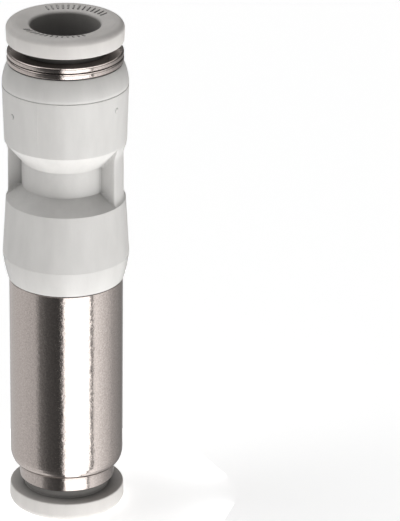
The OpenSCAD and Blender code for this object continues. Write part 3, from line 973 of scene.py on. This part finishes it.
# Levels of the studio's walls as the metal mirrors them, as (degrees to the right of the photograph's
# camera, level). A dark flag stands at the front left, and a large white panel at the front right
WALLS_IN_METAL = [
    (-180, 0.6), (-150, 0.7), (-100, 0.7), (-66, 0.6), (-56, 0.22), (-40, 0.1), (-14, 0.05), (-8, 0.15),
    (-3, 2.3), (49, 2.3), (51, 0.2), (55, 0.2), (58, 1.3), (75, 1.05), (110, 0.5), (150, 0.25),
    (180, 0.6),
]

# Shares of those levels at heights from -1, straight down, to 1, straight up
WALL_HEIGHTS = [
    (-1, 1.3), (-0.7, 1.2), (-0.5, 1), (-0.3, 1), (-0.15, 0.5), (0.1, 0.3), (0.45, 0.4), (0.6, 1), (1, 1),
]

# The soft box overhead in the metal, by height and by direction: the flag hides it at the front left
SOFT_BOX_IN_METAL = [(-1, 0), (0.5, 0), (0.65, 0.9), (1, 0.9)]
SOFT_BOX_ROUND = [(-180, 1), (-66, 1), (-56, 0.05), (-10, 0.05), (-3, 1), (180, 1)]

# The lit table under the valve, on plastic: strongest at the front right, weak at the front left
TABLE_ROUND = [
    (-180, 0.85), (-105, 0.72), (-62, 0.68), (-54, 0.35), (-10, 0.25),
    (-3, 1.9), (50, 1.9), (60, 1.0), (110, 0.9), (180, 0.85),
]
TABLE_HEIGHTS = [
    (-1, 0.9), (-0.9, 1.8), (-0.75, 3.3), (-0.5, 3.3), (-0.38, 1.1), (-0.2, 0.4), (0, 0.22), (1, 0.06),
]

# The soft box overhead, on plastic: it lights level faces and leaves bores and gaps dark
OVERHEAD_HEIGHTS = [(-1, 0), (0.75, 0), (0.86, 0.65), (1, 0.65)]

# The small soft box high on the left, on plastic
HIGH_LEFT_ROUND = [(-180, 0.4), (-120, 0.8), (-108, 2.7), (-75, 2.7), (-60, 0), (150, 0), (180, 0.4)]
HIGH_LEFT_HEIGHTS = [(-1, 0), (0.35, 0), (0.55, 1), (0.86, 1), (0.95, 0), (1, 0)]


def levels(tree, factor, stops, low, high):
    """A level that runs through the stops, given as (place, level), as a factor goes from low to high."""
    share = add_node(
        tree, "ShaderNodeMapRange", {"From Min": low, "From Max": high}, {"Value": factor}
    )
    ramp = add_node(tree, "ShaderNodeValToRGB", links={"Fac": share.outputs["Result"]})
    elements = ramp.color_ramp.elements
    brightest = max(level for _, level in stops)
    for i, (place, level) in enumerate(stops):
        stop = elements[i] if i < 2 else elements.new(1)
        stop.position = (place - stops[0][0]) / (stops[-1][0] - stops[0][0])
        stop.color = [level / brightest] * 3 + [1]
    scaled = add_node(
        tree, "ShaderNodeMath", {"operation": "MULTIPLY", 1: brightest}, {0: ramp.outputs["Color"]}
    )
    return scaled.outputs[0]


def make_studio():
    """A pale studio, white to the camera. Plastic and metal are each given their own light in it."""
    world = bpy.data.worlds.new("studio")
    bpy.context.scene.world = world
    world.use_nodes = True
    tree = world.node_tree
    tree.nodes.clear()
    place = add_node(tree, "ShaderNodeTexCoord")
    way = add_node(tree, "ShaderNodeSeparateXYZ", links={0: place.outputs["Generated"]})
    back = add_node(tree, "ShaderNodeMath", {"operation": "MULTIPLY", 1: -1}, {0: way.outputs["Y"]})
    angle = add_node(
        tree, "ShaderNodeMath", {"operation": "ARCTAN2"}, {0: way.outputs["X"], 1: back.outputs[0]}
    )
    from_camera = add_node(
        tree,
        "ShaderNodeMath",
        {"operation": "SUBTRACT", 1: math.radians(CAMERA_AZIMUTH)},
        {0: angle.outputs[0]},
    )
    turn = add_node(
        tree,
        "ShaderNodeMath",
        {"operation": "WRAP", 1: math.pi, 2: -math.pi},
        {0: from_camera.outputs[0]},
    )
    walls = levels(tree, turn.outputs[0], WALLS_IN_METAL, -math.pi, math.pi)
    wall_heights = levels(tree, way.outputs["Z"], WALL_HEIGHTS, -1, 1)
    soft_box = levels(tree, way.outputs["Z"], SOFT_BOX_IN_METAL, -1, 1)
    soft_box_round = levels(tree, turn.outputs[0], SOFT_BOX_ROUND, -math.pi, math.pi)
    open_box = add_node(
        tree, "ShaderNodeMath", {"operation": "MULTIPLY"}, {0: soft_box, 1: soft_box_round}
    )
    in_metal = add_node(
        tree,
        "ShaderNodeMath",
        {"operation": "MULTIPLY_ADD"},
        {0: walls, 1: wall_heights, 2: open_box.outputs[0]},
    )
    table_round = levels(tree, turn.outputs[0], TABLE_ROUND, -math.pi, math.pi)
    table_height = levels(tree, way.outputs["Z"], TABLE_HEIGHTS, -1, 1)
    table = add_node(
        tree, "ShaderNodeMath", {"operation": "MULTIPLY"}, {0: table_round, 1: table_height}
    )
    overhead = levels(tree, way.outputs["Z"], OVERHEAD_HEIGHTS, -1, 1)
    left_round = levels(tree, turn.outputs[0], HIGH_LEFT_ROUND, -math.pi, math.pi)
    left_height = levels(tree, way.outputs["Z"], HIGH_LEFT_HEIGHTS, -1, 1)
    both = add_node(
        tree, "ShaderNodeMath", {"operation": "ADD"}, {0: overhead, 1: table.outputs[0]}
    )
    soft = add_node(
        tree,
        "ShaderNodeMath",
        {"operation": "MULTIPLY_ADD"},
        {0: left_round, 1: left_height, 2: both.outputs[0]},
    )
    path = add_node(tree, "ShaderNodeLightPath")
    lit = add_node(
        tree,
        "ShaderNodeMix",
        {"data_type": "FLOAT"},
        {"Factor": path.outputs["Is Glossy Ray"], "A": soft.outputs[0], "B": in_metal.outputs[0]},
    )
    shown = add_node(
        tree,
        "ShaderNodeMix",
        {"data_type": "FLOAT", "B": 1},
        {"Factor": path.outputs["Is Camera Ray"], "A": lit.outputs["Result"]},
    )
    background = add_node(tree, "ShaderNodeBackground", links={"Strength": shown.outputs["Result"]})
    add_node(tree, "ShaderNodeOutputWorld", links={"Surface": background.outputs[0]})


def main():
    bpy.context.scene.view_settings.view_transform = "Standard"
    make_camera()
    make_studio()
    make_floor()
    make_table_glow()
    finishes = {
        "nickel_plated_brass": bright_nickel(),
        "sleeve_plastic": moulded_plastic(
            "moulded_glass_filled_nylon", dark="#dad8d5", light="#e2e0dd", polish_below=BEVEL_TOP_Z
        ),
        "ring_plastic": moulded_plastic("moulded_acetal", dark="#dbd7d3", light="#e4e0dc"),
        "support_plastic": moulded_plastic("moulded_white_acetal", dark="#e6e6e2", light="#efefec"),
        "spring_steel": spring_steel(),
        "bare_brass": turned_brass(),
        "nitrile_rubber": nitrile_rubber(),
    }
    dress_frame(finishes)
    housing_sleeve(finishes["sleeve_plastic"])
    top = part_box("upper_release_ring")[1].z / MM
    ring = finishes["ring_plastic"]
    release_ring("top_release_ring", "upper_release_ring", "upper_release", ring, top, -1)
    release_ring("foot_release_ring", "lower_release_ring", "lower_release", ring, 0, 1)
    grip_ticks(top, ring)
    pin_marks(finishes["sleeve_plastic"])
    coil_spring(finishes["spring_steel"])


main()
